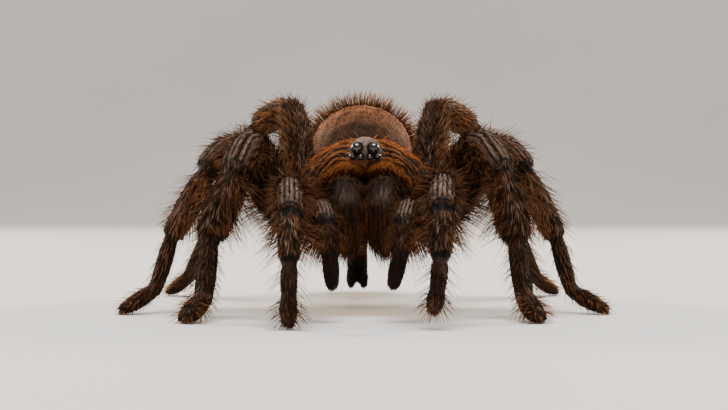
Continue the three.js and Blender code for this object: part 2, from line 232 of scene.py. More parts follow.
def ripple(points, size, seed):
    """A smooth random value from -1 to 1 at each point, from waves about size long."""
    waves = np.random.default_rng(seed)
    total = np.zeros(len(points))
    count = 7
    for _ in range(count):
        direction = unit(waves.normal(size=3))
        pace = 2.0 * math.pi / (size * waves.uniform(0.6, 1.5))
        total += np.sin(points @ direction * pace + waves.uniform(0, 2.0 * math.pi))
    return np.clip(total / math.sqrt(count), -1.0, 1.0)


def blend(first, second, factor):
    """Colours from first to second by a factor for each row."""
    return first + (second - first) * np.asarray(factor)[..., None]


def painted(colours, where, others, share=1.0):
    """Colours with others laid over them where a part is, by a share."""
    return blend(colours, others, np.where(where, share, 0.0))


def got(items, key, width, kind=np.float32):
    """A property of many items of a mesh, as an array with a row for each."""
    values = np.empty(len(items) * width, kind)
    items.foreach_get(key, values)
    return values.reshape(-1, width)


def put(items, key, values, kind=np.float32):
    """Sets a property of many items of a mesh from an array."""
    items.foreach_set(key, np.ascontiguousarray(values, kind).ravel())


def coordinates(mesh, key="co"):
    """The places or normals of a mesh's vertices."""
    return got(mesh.vertices, key, 3).astype(float)


def read(mesh, name):
    """A number that the mesh keeps for each vertex, as an array."""
    return got(mesh.attributes[name].data, "value", 1)[:, 0].astype(float)


def write(mesh, name, values):
    """Keeps an array as a point attribute of the mesh: a number, a vector or a colour."""
    kinds = {1: ("FLOAT", "value"), 3: ("FLOAT_VECTOR", "vector"), 4: ("FLOAT_COLOR", "color")}
    kind, key = kinds[1 if values.ndim == 1 else values.shape[1]]
    put(mesh.attributes.new(name, kind, "POINT").data, key, values)


def merged(*names):
    """A bmesh copy of CAD nodes, with the loose triangles of each joined up."""
    bm = bmesh.new()
    for name in names:
        bm.from_mesh(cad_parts[name].data)
    bmesh.ops.remove_doubles(bm, verts=bm.verts, dist=0.002 * MM)
    bm.normal_update()
    return bm


def ended(name, bm):
    """Ends a bmesh and gives its mesh."""
    mesh = bpy.data.meshes.new(name)
    bm.to_mesh(mesh)
    bm.free()
    return mesh


def linked(name, data):
    """A new object in the scene, of a mesh, a light or a camera."""
    thing = bpy.data.objects.new(name, data)
    bpy.context.scene.collection.objects.link(thing)
    return thing


def placed(name, mesh, material):
    """A mesh in the scene as a smooth object of one material."""
    thing = linked(name, mesh)
    mesh.materials.clear()
    mesh.materials.append(material)
    mesh.polygons.foreach_set("use_smooth", [True] * len(mesh.polygons))
    mesh.update()
    return thing


def finished(name, mesh, material, replaced=()):
    """A mesh as a piece of the model and the nodes that it stands in for."""
    piece = placed(name, mesh, material)
    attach(piece, "root")
    if replaced:
        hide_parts(*replaced)


def corners(name):
    """The vertices of a CAD node."""
    return coordinates(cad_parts[name].data)


def extent(name):
    """The low corner, the middle and the high corner of a node's box, as three rows."""
    low, high = (np.array(corner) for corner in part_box(name))
    return np.array((low, (low + high) / 2, high))


def place_in(name, *rows, shift=(0, 0, 0)):
    """A place in a node's box: the row of extent() for each of x, y and z, and a shift in millimetres."""
    return extent(name)[rows, (0, 1, 2)] + np.array(shift) * MM


# ------- anatomy


class Part:
    """One node of flesh: where it starts and ends, the way to its side, and its bare rings."""

    def __init__(self, start, end=None, across=(1.0, 0.0, 0.0)):
        self.start = start
        self.end = end
        self.across = across
        self.rings = []

    def flow(self, points):
        """The way that hair lies at points: away from the start and towards the end."""
        away = points - self.start
        lie = away / np.maximum(dot(away, away), 1e-8)[:, None]
        if self.end is not None:
            back = self.end - points
            lie = lie + back / np.maximum(dot(back, back), 1e-8)[:, None]
        return lie

    def along(self, points):
        """0 at the start of the part and 1 at its end."""
        gone = np.linalg.norm(points - self.start, axis=1)
        if self.end is None:
            return gone / max(gone.max(), 1e-9)
        return gone / (gone + np.linalg.norm(points - self.end, axis=1))


def joint_between(first, second):
    """The middle of the cut between two nodes."""
    a, b = corners(first), corners(second)
    apart = np.linalg.norm(a[:, None] - b[None], axis=2)
    near = apart.min(axis=1) < apart.min() + 0.35 * MM
    return a[near].mean(axis=0)


def far_end(name, point, share=0.04):
    """The middle of the vertices of a node that lie farthest from a point."""
    verts = corners(name)
    far = np.linalg.norm(verts - point, axis=1)
    return verts[far >= np.quantile(far, 1.0 - share)].mean(axis=0)


def eye_mound():
    """The middle of the group of eyes."""
    boxes = np.array([extent(f"eye_{eye}") for eye in EYES])
    return (boxes[:, 0].min(axis=0) + boxes[:, 2].max(axis=0)) / 2


def from_mound(points):
    """How far each point is from the middle of the group of eyes."""
    return np.linalg.norm(points - eye_mound(), axis=1)


def behind(name, points):
    """How far each point lies behind the front of a node."""
    return points[:, 1] - extent(name)[0, 1]


def anatomy():
    """Every part of flesh by name, with the joints of the limbs worked out from the frame."""
    parts = {}
    for limb, names in LIMBS.items():
        for side in SIDES:
            nodes = [f"{limb}_{side}_{part}" for part in names]
            joints = [joint_between(a, b) for a, b in zip(nodes, nodes[1:])]
            joints = [far_end(nodes[0], joints[0], 0.12), *joints, far_end(nodes[-1], joints[-1])]
            out = joints[-1] - joints[0]
            out[2] = 0.0
            across = np.cross(unit(out), UP)
            for node, start, end in zip(nodes, joints, joints[1:]):
                parts[node] = Part(start, end, across)
            for place, strength in ((2, 1.0), (3, 0.5 if limb == "palp" else 0.8)):
                for node in nodes[place - 1 : place + 1]:
                    parts[node].rings.append((joints[place], strength))
    parts["carapace"] = Part(eye_mound() - (0, 0, 2.5 * MM))
    parts["underbody"] = Part(place_in("underbody", 1, 1, 2))
    height = np.ptp(extent("abdomen")[:, 2])
    front = place_in("abdomen", 1, 0, 0) + (0, 0, 0.35 * height)
    rear = place_in("abdomen", 1, 2, 0) + (0, 0, 0.25 * height)
    parts["abdomen"] = Part(front, rear)
    parts["pedicel"] = Part(*(place_in("pedicel", 1, 1, 1, shift=(0, y, 0)) for y in (-4, 4)))
    for side in SIDES:
        jaw, rod = f"chelicera_{side}", f"spinneret_{side}"
        top, tip = place_in(jaw, 1, 2, 2, shift=(0, 0, 1.5)), place_in(jaw, 1, 0, 0, shift=(0, 2, -3))
        parts[jaw] = Part(top, tip)
        parts[rod] = Part(place_in(rod, 1, 1, 2), place_in(rod, 1, 1, 0, shift=(0, 0, -1)))
    return parts


# ------- markings


SPOT_KEYS = ("kind", "point", "normal", "flow", "along", "dorsal", "lateral", "bare", "room", "rim")


class Spots:
    """Places on the skin, with an array of each thing that the markings and the coat depend on.

    They are the kind of part, the point, the normal, the lie of the hair, how far along the part it is,
    how far it faces the part's back and side, how bare it is, the room before the next ring, and, on
    the carapace, the way to the edge.
    """

    def __init__(self, *arrays):
        for key, values in zip(SPOT_KEYS, arrays):
            setattr(self, key, values)
        self.limb = self.kind >= FIRST_LIMB_KIND
        self.side = np.abs(self.lateral)

    def of(self, *kinds):
        return np.isin(self.kind, [KINDS.index(kind) for kind in kinds])


def stripes(spots):
    """The pale lines along the back of a patella, and the dark lines between them."""
    strength = 0.75 * spots.of("palp_patella") + 0.85 * spots.of("leg_patella")
    band = strength * step(0.88, 0.7, spots.side) * step(0.1, 0.45, spots.dorsal)
    band = band * step(0.95, 0.5, spots.along)
    dark = np.max([bell(spots.side, place, 0.09) for place in (0.0, 0.34, 0.67)], axis=0)
    return band * (1.0 - dark), band * dark


def cheek_bare_and_highlight(spots):
    """The patch high on the inner front of each chelicera: bare and glossier, and painted grey as a
    highlight.
    """
    low, _, high = extent("chelicera_left")
    size = high - low
    x = np.abs(spots.point[:, 0]) - (low[0] + 0.42 * size[0])
    z = spots.point[:, 2] - (low[2] + 0.77 * size[2])
    inside = np.exp(-((x / (0.32 * size[0])) ** 2) - (z / (0.13 * size[2])) ** 2)
    return np.where(spots.of("chelicera") & (spots.normal[:, 1] < 0.2), inside, 0.0)


def hem(points, rim):
    """1 on the front edge of the carapace, over the chelicerae."""
    return ramp(9, 6, behind("carapace", points)) * ramp(2.2, 1.4, rim)


def fovea(points):
    """The grooves that run out from the pit in the middle of the carapace, and the pit itself."""
    low, _, high = extent("carapace")
    flat = points - (0.45 * low + 0.55 * high)
    bearing, reach = np.arctan2(flat[:, 0], flat[:, 1]), np.hypot(flat[:, 0], flat[:, 1])
    spokes = step(0.7, 1.0, np.cos(bearing * 8.0))
    return spokes * ramp(2, 4, reach) * ramp(15, 9, reach), bell(reach, 0, 1.6 * MM)


def mound_top(points):
    """1 on the eye mound, down to a little below the middle of the eyes."""
    near = ramp(4.4, 3.0, from_mound(points))
    return near * ramp(-2.6, -1.4, points[:, 2] - eye_mound()[2])


def throat(spots):
    """1 under the front of the body, behind the chelicerae."""
    ahead = ramp(16, 10, behind("underbody", spots.point))
    return spots.of("underbody") * ahead * step(0.2, -0.5, spots.normal[:, 2])


def belly(spots):
    """1 on the underside of the femora of the legs."""
    return spots.of("leg_femur") * step(0.0, -0.5, spots.dorsal)


def toes(spots):
    """1 on the last part of each foot."""
    return spots.of("leg_foot") * step(0.5, 0.75, spots.along)


def comb(spots):
    """Streaks along the combed hair of the carapace, 0 dark to 1 orange: the orange brow, a painted
    highlight along the crest where the skin faces up, painted shade at the front edge over the chelicerae,
    and darker in the grooves and the pit.
    """
    ahead = step(0.3, -0.1, spots.normal[:, 1])
    wave = spots.rim / (1.7 * MM) + 0.25 * ripple(spots.point, 8 * MM, 5)
    streaks = step(0.45, 0.85, 0.5 + 0.5 * np.cos(2 * math.pi * wave))
    # painted highlight along the crest, where the skin faces up and a little forward
    crest_highlight = bell(spots.normal[:, 1], -0.12, 0.14) * step(0.5, 0.85, spots.normal[:, 2])
    brow = bell(spots.rim, 1.6 * MM, 0.75 * MM) * step(0.0, -0.35, spots.normal[:, 1])
    groove, pit = fovea(spots.point)
    back = 0.38 * (1 - ahead) * (1 - 0.75 * np.clip(groove + pit, 0, 1))
    # painted shade at the front edge, over the chelicerae
    shade = 1 - 0.9 * hem(spots.point, spots.rim + 0.8 * MM)
    return np.clip((0.03 + 0.6 * streaks * ahead + back + 1.5 * crest_highlight + 1.6 * brow) * shade, 0, 1)


def shell_fur(spots, tone, hue):
    """The fur of the carapace, with the painted crest highlight and front-edge shade of comb() and the grey
    dust of the eye mound: root and tip.
    """
    combed = comb(spots)
    root = blend(hue.soot, hue.brown * 2, combed)
    tip = blend(hue.soot, hue.orange, np.clip(combed * (0.5 + 0.8 * tone), 0, 1))
    # gold where comb() is brightest, partly over its painted crest highlight
    tip = blend(tip, hue.gold * 1.2, 0.45 * step(0.55, 1.0, combed) * step(0.3, 0.8, tone))
    crown = mound_top(spots.point)
    dust = blend(hue.umber, hue.grey * 1.7, 0.3 + 0.7 * tone)
    return blend(root, dust, 0.7 * crown), blend(tip, dust, 0.9 * crown)


def velvet(spots, tone, hue):
    """The tips of the abdomen's fur: painted shadow low in the middle of its front, under the carapace, and
    painted rim light round its brow, brighter where it faces up.
    """
    # painted shadow low in the middle of the front, where the carapace shades it
    hollow_shadow = bell(spots.point[:, 0], 0, 8.5 * MM) * step(0.38, 0.15, spots.along)
    # painted rim light round the brow, brighter where the fur faces up
    lit = 0.12 + 0.3 * step(0.2, 0.33, spots.along) + 0.7 * step(0.33, 0.42, spots.along)
    lit *= 0.65 + 0.35 * step(-0.1, 0.6, spots.normal[:, 2])
    tip = blend(hue.umber * 0.8, hue.rose, np.clip(step(0.15, 0.85, tone) * lit, 0, 1))
    tip = blend(tip, hue.soot, 0.75 * hollow_shadow)
    return blend(tip, hue.umber, 0.65 * step(0.43, 0.6, spots.along))


def jaw_fur(spots, tone, hue):
    """The tips of the fur of the chelicerae, with their orange seam, painted shadow at their tops under the
    carapace's edge, darker towards the lower end, and the painted grey highlight of their bare patches.
    """
    seam = bell(spots.point[:, 0], 0, 1.8 * MM) * step(0.3, 0.7, tone)
    tip = blend(blend(hue.soot, hue.brown, step(0.3, 0.95, tone)), hue.orange, 0.35 * seam)
    # painted shadow at the top, under the carapace's edge; darker towards the lower end
    ends = np.maximum(0.7 * step(0.72, 0.95, spots.along), step(0.2, 0.05, spots.along))
    return blend(blend(tip, hue.soot, ends), hue.grey, 0.7 * cheek_bare_and_highlight(spots))


def fur_colours(spots, tone, hue):
    """The colours of fur at its roots and tips, with painted warm rim light on the limbs' sides and a
    painted highlight on their tops; tone is 0 dark to 1 light at each place.
    """
    root = blend(hue.soot, hue.umber, 0.5 * tone)
    tip = blend(hue.soot, hue.brown, step(0.2, 0.7, tone))
    tip = blend(tip, hue.tan, 0.7 * step(0.62, 1.0, tone))
    # painted warm rim light: gold tips on the sides of the limbs
    tip = painted(tip, spots.limb, hue.gold, 0.3 * step(0.6, 0.95, spots.side) * step(0.45, 0.9, tone))
    # painted highlight: pale tips on the tops of the limbs
    tip = painted(tip, spots.limb, hue.pale, 0.45 * step(0.6, 1.0, spots.dorsal) * step(0.6, 0.9, tone))
    tip = painted(tip, spots.of("leg_femur", "palp_tibia"), hue.umber, 0.55)
    shaded = np.maximum(0.45 + 0.25 * step(0.7, 0.5, spots.along), 0.8 * step(0.3, -0.3, spots.dorsal))
    tip = painted(tip, spots.of("leg_foot"), hue.soot, shaded)
    tip = painted(tip, spots.of("palp_tarsus"), hue.soot, 0.95)
    light, dark = stripes(spots)
    root, tip = blend(root, hue.pale, 0.7 * light), blend(tip, hue.pale, 0.95 * light)
    root, tip = blend(root, hue.soot, dark), blend(tip, hue.soot, dark)
    shell, back = spots.of("carapace"), spots.of("abdomen")
    shell_root, shell_tip = shell_fur(spots, tone, hue)
    back_tip = velvet(spots, tone, hue)
    root = painted(root, shell, shell_root)
    root = painted(root, back, blend(hue.soot, back_tip, 0.4))
    tip = painted(tip, shell, shell_tip)
    tip = painted(tip, back, back_tip)
    tip = painted(tip, spots.of("chelicera"), jaw_fur(spots, tone, hue))
    rod = blend(hue.umber, hue.cuticle, step(0.42, 0.52, spots.along))
    return root, painted(tip, spots.of("spinneret"), rod)


def seta_colours(spots, tone, hue):
    """The colours of the long setae at roots and tips: gold in the fringes, partly painted warm rim light
    on the limbs' sides, brown over the faces, and painted shade under the femora and at the carapace's
    front edge.
    """
    # gold fringes on the limbs' sides: partly the setae's own colour, partly painted warm rim light
    fringe_and_rim_light = np.where(spots.limb, step(0.35, 0.85, spots.side), 0.5)
    fringe_and_rim_light *= 0.06 + 0.94 * ramp(2, 14, behind("carapace", spots.point))
    outer = ramp(20, 32, np.abs(spots.point[:, 0]))
    fringe_and_rim_light = np.maximum(fringe_and_rim_light, toes(spots) * step(-0.2, 0.3, spots.dorsal) * (0.3 + 0.7 * outer))
    root = blend(hue.soot, hue.brown, tone)
    tip = blend(hue.umber, hue.brown, 0.2 + 0.8 * tone)
    tip = blend(tip, hue.gold, (0.15 + 0.85 * tone) * (0.06 + 0.94 * fringe_and_rim_light))
    # darker setae on the femora, most on their undersides as painted shade
    under = step(0.1, -0.4, spots.dorsal)
    tip = painted(tip, spots.of("leg_femur", "palp_femur"), hue.umber, 0.3 + 0.6 * under)
    tip = painted(tip, spots.of("leg_foot", "palp_tarsus") & (spots.dorsal < -0.1), hue.umber)
    tip = painted(tip, spots.of("palp_tarsus"), hue.soot, 0.9)
    tip = painted(tip, spots.of("underbody", "pedicel"), root, 0.9)
    tip = painted(tip, spots.of("abdomen"), blend(hue.umber, hue.gold, 0.45 * tone))
    tip = painted(tip, spots.of("chelicera"), root)
    # painted shade: darker setae at the carapace's front edge, over the chelicerae
    edge = hem(spots.point, spots.rim + 0.9 * MM)
    tip = painted(tip, spots.of("carapace"), blend(hue.brown, hue.orange, tone * (1 - 0.8 * edge)))
    return root, painted(tip, spots.of("spinneret"), hue.soot)


# ------- finishes


class Value:
    """An output socket; arithmetic on it adds Math nodes."""

    def __init__(self, finish, socket):
        self.finish = finish
        self.socket = socket

    def _math(self, operation, first, second):
        return self.finish.node("ShaderNodeMath", {"operation": operation}, {0: first, 1: second})

    def __add__(self, other):
        return self._math("ADD", self, other)

    def __sub__(self, other):
        return self._math("SUBTRACT", self, other)

    def __rsub__(self, other):
        return self._math("SUBTRACT", other, self)

    def __mul__(self, other):
        return self._math("MULTIPLY", self, other)

    __radd__ = __add__
    __rmul__ = __mul__


class Finish:
    """A material: node() adds any node, and surface() ends the tree."""

    def __init__(self, name):
        self.material = bpy.data.materials.new(name)
        self.material.use_nodes = True
        self.tree = self.material.node_tree
        self.tree.nodes.clear()

    def node(self, kind, settings=None, inputs=None, output=0):
        """Adds a node, with its settings first, and returns one of its outputs."""
        node = self.tree.nodes.new(kind)
        for key, value in (settings or {}).items():
            setattr(node, key, value)
        for key, value in (inputs or {}).items():
            if isinstance(value, Value):
                self.tree.links.new(value.socket, node.inputs[key])
            else:
                node.inputs[key].default_value = value
        return Value(self, node.outputs[output]) if len(node.outputs) else None

    def noise(self, scale, detail):
        place = self.node("ShaderNodeTexCoord", output="Object")
        inputs = {"Vector": place, "Scale": scale, "Detail": detail}
        return self.node("ShaderNodeTexNoise", {}, inputs, "Fac")

    def attribute(self, name, output="Color"):
        return self.node("ShaderNodeAttribute", {"attribute_name": name}, {}, output)

    def mix(self, factor, first, second, mode="MIX"):
        """Mixes two colours."""
        settings = {"data_type": "RGBA", "blend_type": mode}
        return self.node("ShaderNodeMix", settings, {0: factor, 6: first, 7: second}, 2)

    def coat(self, shade):
        """The colour that the mesh keeps, times a number."""
        grey = self.node("ShaderNodeCombineColor", {}, {0: shade, 1: shade, 2: shade})
        return self.mix(1.0, self.attribute("coat"), grey, "MULTIPLY")

    def bump(self, height, strength, distance):
        inputs = {"Height": height, "Strength": strength, "Distance": distance}
        return self.node("ShaderNodeBump", {}, inputs)

    def surface(self, **inputs):
        """Ends the tree with a Principled shader; an underscore in a name stands for a space."""
        named = {key.replace("_", " "): value for key, value in inputs.items()}
        shader = self.node("ShaderNodeBsdfPrincipled", {}, named)
        self.node("ShaderNodeOutputMaterial", {}, {"Surface": shader})
        return self.material


def rgba(values):
    return (*(float(value) for value in values), 1.0)


def skin_finish():
    """Cuticle that shows between the hairs and on the bald places."""
    finish = Finish("cuticle_skin")
    base = finish.coat(0.7 + 0.6 * finish.noise(900.0, 4.0))
    bare = finish.attribute("gloss", "Fac")
    pores = finish.noise(2600.0, 2.0)
    creases = finish.noise(420.0, 3.0)
    normal = finish.bump(pores * 0.5 + creases, 0.35, 0.15 * MM)
    rough = 0.72 - bare * 0.2 + 0.1 * (creases - 0.5)
    return finish.surface(Base_Color=base, Roughness=rough, Normal=normal, Specular_IOR_Level=0.07)


def coat_finish(name, roughness):
    """Hair that takes its colour from root to tip from the mesh."""
    finish = Finish(name)
    base = finish.coat(0.75 + 0.5 * finish.noise(1500.0, 2.0))
    rough = roughness + 0.2 * (finish.noise(700.0, 2.0) - 0.5)
    return finish.surface(Base_Color=base, Roughness=rough, Specular_IOR_Level=0.05)


def eye_finish():
    """A black lens under a clear gloss."""
    finish = Finish("eye_lens")
    depth = finish.noise(600.0, 2.0)
    base = finish.mix(depth, (0.004, 0.003, 0.003, 1.0), (0.02, 0.010, 0.006, 1.0))
    return finish.surface(Base_Color=base, Roughness=0.05 + 0.03 * depth, IOR=1.55, Specular_IOR_Level=0.75)


def horn_finish(name, dark, light):
    """Polished horn, dark and light in a fine grain."""
    finish = Finish(name)
    grain = finish.noise(1200.0, 4.0)
    base = finish.mix(grain, rgba(dark), rgba(light))
    normal = finish.bump(grain, 0.15, 0.05 * MM)
    return finish.surface(Base_Color=base, Roughness=0.18 + 0.12 * grain, Normal=normal, Coat_Weight=0.4)


def floor_finish():
    """A pale matt studio floor."""
    finish = Finish("studio_floor")
    cloud = finish.noise(9.0, 3.0)
    base = finish.mix(cloud, (0.66, 0.655, 0.65, 1.0), (0.70, 0.695, 0.69, 1.0))
    return finish.surface(Base_Color=base, Roughness=0.42 + 0.06 * cloud, Specular_IOR_Level=0.3)


# ------- skin


def welded(settings):
    """All parts of flesh grown until their cuts close, and welded into one smooth mesh."""
    bm = merged(*FLESH)
    for vert in bm.verts:
        vert.co += vert.normal * settings.body.weld
    rough = ended("rough", bm)
    block = linked("rough", rough)
    remesh = block.modifiers.new("weld", "REMESH")
    remesh.mode = "VOXEL"
    remesh.voxel_size = settings.body.voxel
    shape = block.evaluated_get(bpy.context.evaluated_depsgraph_get())
    bm = bmesh.new()
    bm.from_mesh(shape.to_mesh())
    bpy.data.objects.remove(block)
    bpy.data.meshes.remove(rough)
    keep_largest(bm)
    mound, mound_size, rounds_at_mound = Vector(eye_mound()), 5 * MM, 2
    away = [vert for vert in bm.verts if (vert.co - mound).length > mound_size]
    for turn in range(settings.body.rounds):
        verts = bm.verts if turn < rounds_at_mound else away
        bmesh.ops.smooth_vert(bm, verts=verts, factor=0.5, **EVERY_WAY)
    bm.normal_update()
    return bm


def keep_largest(bm):
    """Drops the small closed scraps that lie inside the welded skin."""
    seen, shells = set(), []
    for vert in bm.verts:
        if vert in seen:
            continue
        seen.add(vert)
        shell = [vert]
        for here in shell:
            beside = {edge.other_vert(here) for edge in here.link_edges} - seen
            seen |= beside
            shell += beside
        shells.append(shell)
    shells.sort(key=len)
    scraps = [vert for shell in shells[:-1] for vert in shell]
    if scraps:
        bmesh.ops.delete(bm, geom=scraps, context="VERTS")


def spread(values, edges, rounds):
    """Evens out an array of values, one or more to a vertex, over the vertices of a mesh."""
    size = len(values)
    a, b = edges.T
    count = np.maximum(np.bincount(edges.ravel(), minlength=size), 1)
    columns = values.T.reshape(-1, size)
    for _ in range(rounds):
        total = [np.bincount(a, row[b], size) + np.bincount(b, row[a], size) for row in columns]
        columns = 0.5 * columns + 0.5 * np.array(total) / count
    return np.ascontiguousarray(columns.T).reshape(values.shape)


def against_frame(points):
    """The index in FLESH of the node nearest to each point, and how far outside it the point is."""
    verts, faces, owner = [], [], []
    for index, name in enumerate(FLESH):
        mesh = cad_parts[name].data
        first = len(verts)
        verts += [v.co.copy() for v in mesh.vertices]
        faces += [[first + v for v in face.vertices] for face in mesh.polygons]
        owner += [index] * len(mesh.polygons)
    tree = BVHTree.FromPolygons(verts, faces)
    places, normals, hits, away = zip(*(tree.find_nearest(Vector(point)) for point in points))
    inside = dot(points - np.array(places), np.array(normals)) < 0
    return np.array(owner)[list(hits)], np.where(inside, -1.0, 1.0) * away


def flat_to(normals, vectors):
    """The way of vectors along a surface."""
    return unit(vectors - normals * dot(vectors, normals)[:, None])


def survey(mesh):
    """The spots of every vertex of the skin, with the node, edges, parts and heights they come from."""
    points, normals = coordinates(mesh), coordinates(mesh, "normal")
    edges = got(mesh.edges, "vertices", 2, np.int32)
    node, outside = against_frame(points)
    parts = anatomy()
    size = len(points)
    flow, across, along = np.zeros((size, 3)), np.zeros((size, 3)), np.zeros(size)
    kind = np.array([kind_of(name) for name in FLESH])[node]
    for index, name in enumerate(FLESH):
        part, on = parts[name], node == index
        flow[on] = unit(part.flow(points[on]))
        along[on] = part.along(points[on])
        across[on] = part.across
    rim = shell_rim(points, kind)
    shell = kind == KINDS.index("carapace")
    flow[shell] = combed_flow(points[shell], normals[shell], rim[shell])
    flow = unit(spread(flow, edges, FLOW_ROUNDS))
    lie = flat_to(normals, unit(spread(flat_to(normals, flow), edges, LIE_ROUNDS)))
    limb = kind >= FIRST_LIMB_KIND
    back = np.where(limb[:, None], unit(np.cross(across, flow)), UP)
    dorsal, lateral = dot(normals, back), dot(normals, across)
    bare, room = np.zeros(size), np.full(size, FAR)
    spots = Spots(kind, points, normals, lie, along, dorsal, lateral, bare, room, rim)
    return spots, node, edges, parts, outside


def combed_flow(points, normals, rim):
    """The lie of the carapace's hair: level arcs in front, backward behind, and down at the rim."""
    side = np.tanh(points[:, 0] / (1.5 * MM))
    still = np.zeros(len(side))
    arc = np.stack((normals[:, 2] * side, still, -normals[:, 0] * side), axis=1)
    away = unit(points - eye_mound() + (0, 0, 2.5 * MM))
    arc = arc + away * (1.0 - np.abs(side))[:, None]
    lie = blend(away, unit(arc), 0.85 * step(0.15, -0.25, normals[:, 1]))
    down = unit(np.stack((0.45 * side, still - 0.35, still - 1.0), axis=1))
    return blend(lie, down, hem(points, 0.7 * rim))


def tree_of(points, indices):
    """A search tree of some of the points."""
    tree = KDTree(len(indices))
    for index in indices:
        tree.insert(points[index], int(index))
    tree.balance()
    return tree


def shell_rim(points, kind):
    """How far each place on the carapace is from its edge."""
    shell = kind == KINDS.index("carapace")
    others = tree_of(points, np.flatnonzero(~shell))
    rim = np.full(len(points), FAR)
    rim[shell] = [others.find(point)[2] for point in points[shell]]
    return rim


def mark_rings(spots, node, parts, half):
    """How strong a bare ring is at each place; sets the spots' room, which hair has before the ring."""
    rise = np.zeros(len(spots.point))
    for index, name in enumerate(FLESH):
        on = np.flatnonzero(node == index)
        for joint, strength in parts[name].rings:
            ahead = -dot(spots.point[on] - joint, spots.flow[on])
            slim = 0.65 if "palp" in name else 1.0
            reach = half * (0.6 + 0.4 * strength) * slim
            band = step(1.15 * reach, 0.9 * reach, np.abs(ahead)) * strength
            rise[on] = np.maximum(rise[on], band)
            near = np.where(ahead > 0.5 * half, ahead - 0.3 * half, FAR)
            spots.room[on] = np.minimum(spots.room[on], near + (1 - strength) * 1.6 * MM)
    return rise


def sunk(spots, outside, edges, rings, ring_rise):
    """The points of the skin moved in to lie below the tips of the coat, with the pit and its grooves."""
    depth = np.array([COAT[kind][0] for kind in KINDS])[spots.kind] * MM
    depth *= 0.15 + 0.85 * ramp(4.0, 6.5, from_mound(spots.point))
    depth = spread(depth + outside, edges, DEPTH_ROUNDS)
    depth -= rings * ring_rise
    depth -= np.where(spots.of("carapace"), 0.3 * MM * hem(spots.point, 0.5 * spots.rim), 0.0)
    groove, pit = fovea(spots.point)
    shell = spots.of("carapace") & (spots.normal[:, 2] > 0.3)
    depth += np.where(shell, 0.25 * MM * groove + 0.9 * MM * pit, 0.0)
    points = spots.point - spots.normal * depth[:, None]
    points[:, 2] = np.maximum(points[:, 2], SKIN_OVER_FLOOR)
    return points


def skin_paint(spots, rings, hue):
    """The colour of the skin at each vertex: the roots of its coat, with the painted light of
    fur_colours(), a painted grey highlight on the bare patches of the chelicerae, and black on the rings.
    """
    root, tip = fur_colours(spots, 0.5 + 0.3 * ripple(spots.point, 4 * MM, 3), hue)
    paint = blend(root, tip, np.where(spots.of("abdomen"), 0.45, 0.14))
    # painted highlight: grey on the bare patch of each chelicera
    paint = blend(paint, hue.grey * 0.6, 0.7 * cheek_bare_and_highlight(spots))
    paint = blend(paint, hue.cuticle, np.clip(1.8 * rings, 0.0, 1.0))
    return painted(paint, spots.of("carapace"), hue.grey * 0.7, 0.8 * mound_top(spots.point))


def build_skin(settings):
    """The one skin of the animal, with its markings and all that the coat depends on."""
    hue = palette(settings)
    mesh = ended("skin", welded(settings))
    spots, node, edges, parts, outside = survey(mesh)
    rings = mark_rings(spots, node, parts, settings.body.ring)
    points = sunk(spots, outside, edges, rings, settings.body.ring_rise)
    put(mesh.vertices, "co", points)
    mesh.update()
    spots.point, spots.normal = points, coordinates(mesh, "normal")
    spots.bare = np.clip(np.maximum(1.7 * rings, 0.5 * cheek_bare_and_highlight(spots)), 0.0, 1.0)
    paint = skin_paint(spots, rings, hue)
    for eye in EYES:
        low, middle, high = extent(f"eye_{eye}")
        gap = np.linalg.norm(points - middle, axis=1) - (high - low).max() / 2
        paint = blend(paint, hue.cuticle, 0.95 * ramp(0.4, 0.15, gap))
        spots.bare = np.maximum(spots.bare, ramp(0.3, 0.05, gap))
    write(mesh, "coat", np.hstack((paint, np.ones((len(paint), 1)))))
    write(mesh, "gloss", np.clip(np.maximum(1.5 * rings, 0.3 * spots.bare), 0.0, 1.0))
    for key in ("kind", *SPOT_KEYS[3:]):
        write(mesh, key, getattr(spots, key).astype(float))
    write(mesh, "node", node.astype(float))
    finished("skin", mesh, skin_finish(), FLESH)


# ------- coat


def sow(mesh, density, rng):
    """Roots of hairs on the skin, as many to each square metre as the density at its vertices says."""
    mesh.calc_loop_triangles()
    tris = got(mesh.loop_triangles, "vertices", 3, np.int32)
    points = coordinates(mesh)
    a, b, c = (points[tris[:, k]] for k in range(3))
    area = np.linalg.norm(np.cross(b - a, c - a), axis=1) / 2
    expected = np.cumsum(area * density[tris].mean(axis=1))
    total = int(expected[-1])
    picks = (np.arange(total) + rng.random(total)) / total * expected[-1]
    chosen = np.searchsorted(expected, picks).clip(0, len(tris) - 1)
    u, v = rng.random(total), rng.random(total)
    flip = u + v > 1
    u[flip], v[flip] = 1 - u[flip], 1 - v[flip]
    return tris[chosen], np.stack((1 - u - v, u, v), axis=1)


def skin_spots(mesh):
    """The spots of every vertex of the skin, read back from it, and which node each is on."""
    kind, node = (read(mesh, key).round().astype(int) for key in ("kind", "node"))
    flow = got(mesh.attributes["flow"].data, "vector", 3).astype(float)
    rest = [read(mesh, key) for key in SPOT_KEYS[4:]]
    return Spots(kind, coordinates(mesh), coordinates(mesh, "normal"), flow, *rest), node


def rooted(skin, node, tris, weights):
    """The spots of hairs, from those of the vertices round them, and which node each is on."""

    def between(values):
        taken = values[tris]
        return dot(taken, weights) if values.ndim == 1 else np.einsum("nkc,nk->nc", taken, weights)

    nearest = tris[np.arange(len(weights)), weights.argmax(axis=1)]
    point, normal, flow, *rest = (between(getattr(skin, key)) for key in SPOT_KEYS[1:])
    return Spots(skin.kind[nearest], point, unit(normal), unit(flow), *rest), node[nearest]


def locks(points, rng, share):
    """Groups the hairs into locks: the index of the leader of each."""
    leaders = tree_of(points, rng.choice(len(points), max(1, len(points) // share), replace=False))
    return np.array([leaders.find(point)[1] for point in points])


